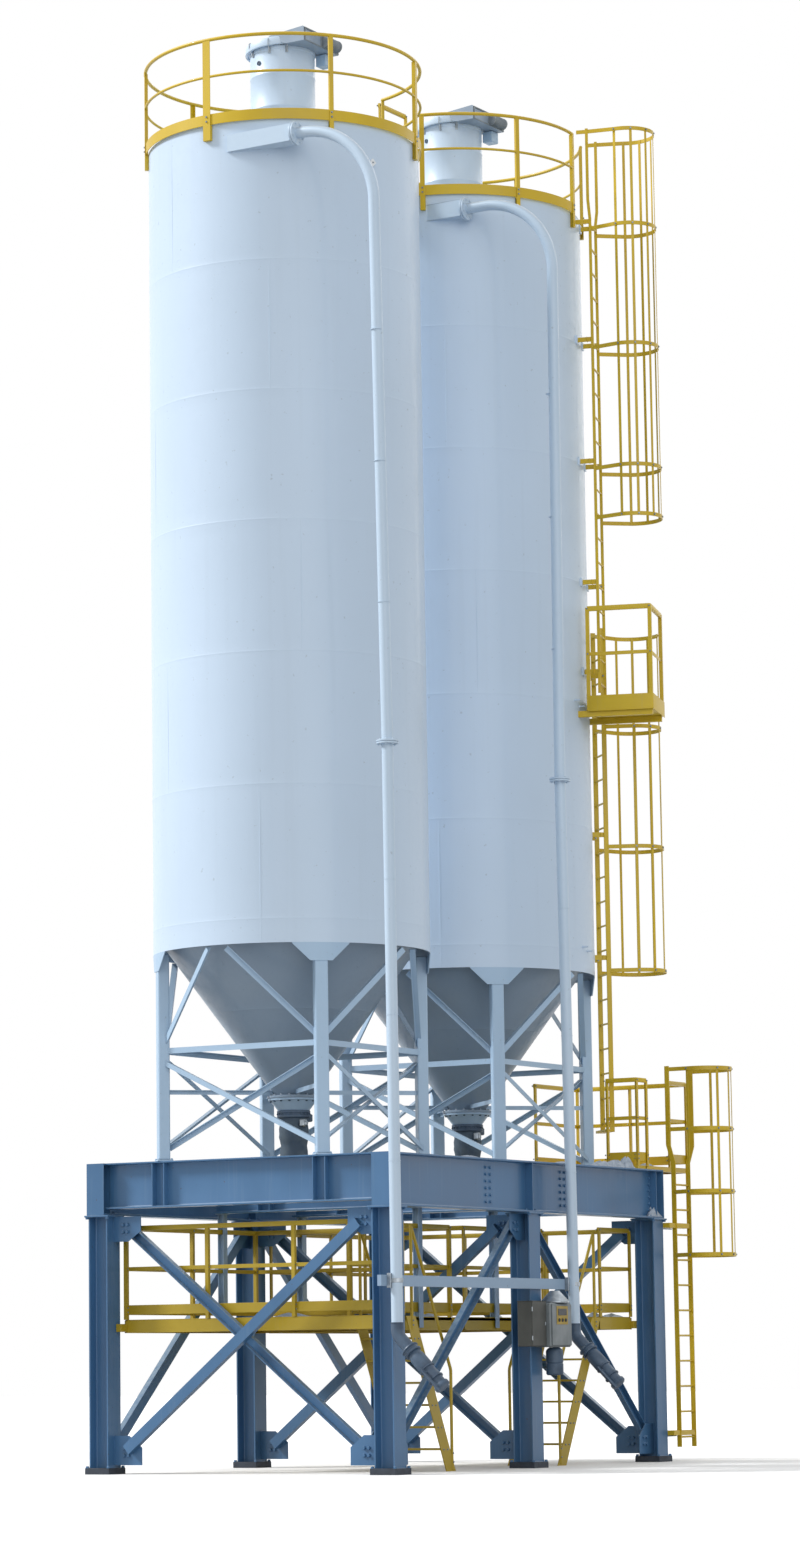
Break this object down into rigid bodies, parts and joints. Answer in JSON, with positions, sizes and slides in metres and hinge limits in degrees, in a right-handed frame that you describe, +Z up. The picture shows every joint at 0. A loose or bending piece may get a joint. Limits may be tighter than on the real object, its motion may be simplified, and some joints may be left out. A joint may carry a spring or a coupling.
{
  "type": "cement silo",
  "caption": "Upright cement silo plant on a steel stand, with cone hoppers, filling pipes, roof rails, working decks, stairs and caged ladders, for storing and loading out bulk powder.",
  "frame": {"origin": "centre of the base, at ground level, in the middle of the whole box", "axes": "+Z up, -Y the front with the filling pipes, +X the end with the ladders"},
  "size_m": [8.001, 4.8654, 16.8],
  "materials": {
    "silo_paint": "satin",
    "stand_paint": "satin",
    "safety_paint": "satin",
    "pipe_paint": "satin",
    "fitting_metal": "satin",
    "cabinet_grey": "satin"
  },
  "bodies": {
    "root": {"column_back_left": "stand_paint", "column_back_middle": "stand_paint", "column_back_right": "stand_paint", "column_front_left": "stand_paint", "column_front_middle": "stand_paint", "column_front_right": "stand_paint", "control_box": "cabinet_grey", "cross_beam_inner_left": "stand_paint", "cross_beam_inner_right": "stand_paint", "cross_beam_outer_left": "stand_paint", "cross_beam_outer_right": "stand_paint", "deck_left": "safety_paint", "deck_right": "safety_paint", "dust_filter_left": "silo_paint", "dust_filter_right": "silo_paint", "end_brace_left_falling": "stand_paint", "end_brace_left_rising": "stand_paint", "end_brace_middle_falling": "stand_paint", "end_brace_middle_rising": "stand_paint", "end_brace_right_falling": "stand_paint", "end_brace_right_rising": "stand_paint", "face_brace_back_left": "stand_paint", "face_brace_back_right": "stand_paint", "face_brace_front_left": "stand_paint", "face_brace_front_right": "stand_paint", "fill_pipe_left": "pipe_paint", "fill_pipe_right": "pipe_paint", "girder_back": "stand_paint", "girder_front": "stand_paint", "hopper_left": "silo_paint", "hopper_right": "silo_paint", "ladder_ground": "safety_paint", "ladder_lower": "safety_paint", "ladder_upper": "safety_paint", "leg_bracing_left_left": "silo_paint", "leg_bracing_left_right": "silo_paint", "leg_bracing_right_left": "silo_paint", "leg_bracing_right_right": "silo_paint", "leg_frame_back_left": "silo_paint", "leg_frame_back_right": "silo_paint", "leg_frame_front_left": "silo_paint", "leg_frame_front_right": "silo_paint", "outlet_left": "fitting_metal", "outlet_right": "fitting_metal", "pipe_beam": "pipe_paint", "rest_platform": "safety_paint", "roof_bridge": "safety_paint", "roof_left": "silo_paint", "roof_rail_left": "safety_paint", "roof_rail_right": "safety_paint", "roof_right": "silo_paint", "shell_left": "silo_paint", "shell_right": "silo_paint", "stair_left": "safety_paint", "stair_right": "safety_paint", "stand_platform": "safety_paint"}
  },
  "joints": []
}
